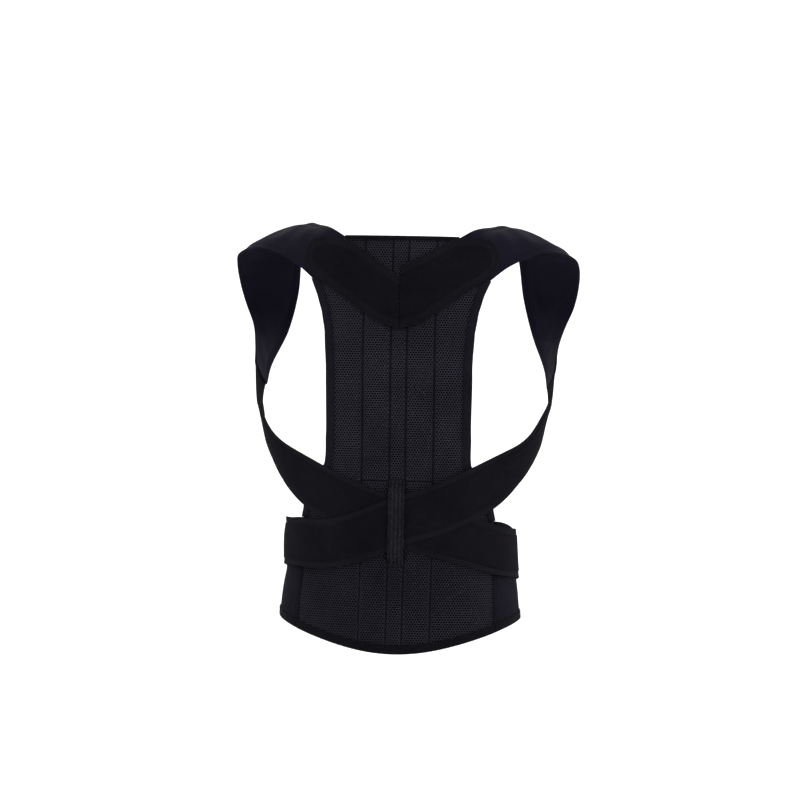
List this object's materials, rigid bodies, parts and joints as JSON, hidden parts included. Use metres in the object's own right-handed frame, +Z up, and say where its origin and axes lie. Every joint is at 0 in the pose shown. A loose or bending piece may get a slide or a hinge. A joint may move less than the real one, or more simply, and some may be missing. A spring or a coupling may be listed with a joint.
{
  "type": "thoracolumbar brace",
  "caption": "Worn back brace: mesh back panel, padded shoulder straps, elastic straps crossed on the back under a loop, and a waist belt closed at the front.",
  "frame": {"origin": "The middle of the waist hollow, on the torso's axis.", "axes": "+Z up the wearer's back, +Y towards the wearer's front, +X towards the wearer's right."},
  "size_m": [0.3882, 0.2267, 0.4726],
  "materials": {
    "spacer_mesh": "matt honeycomb spacer mesh",
    "navy_satin": "satin nylon, padded",
    "wing_cloth": "matt knit",
    "loop_cloth": "matt brushed loop cloth",
    "binding_tape": "plain woven tape",
    "webbing": "ribbed webbing",
    "hook_tape": "hook tape"
  },
  "bodies": {
    "root": {"back_panel": "spacer_mesh", "top_binding": "binding_tape", "hem_binding": "binding_tape", "centre_loop": "webbing", "side_binding_right": "navy_satin", "belt_wing_right": "wing_cloth", "wing_binding_right": "binding_tape", "v_band_right": "loop_cloth", "shoulder_strap_right": "navy_satin", "cross_strap_right": "loop_cloth", "hook_tab_right": "hook_tape", "side_binding_left": "navy_satin", "belt_wing_left": "wing_cloth", "wing_binding_left": "binding_tape", "v_band_left": "loop_cloth", "shoulder_strap_left": "navy_satin", "cross_strap_left": "loop_cloth", "hook_tab_left": "hook_tape"}
  },
  "joints": []
}
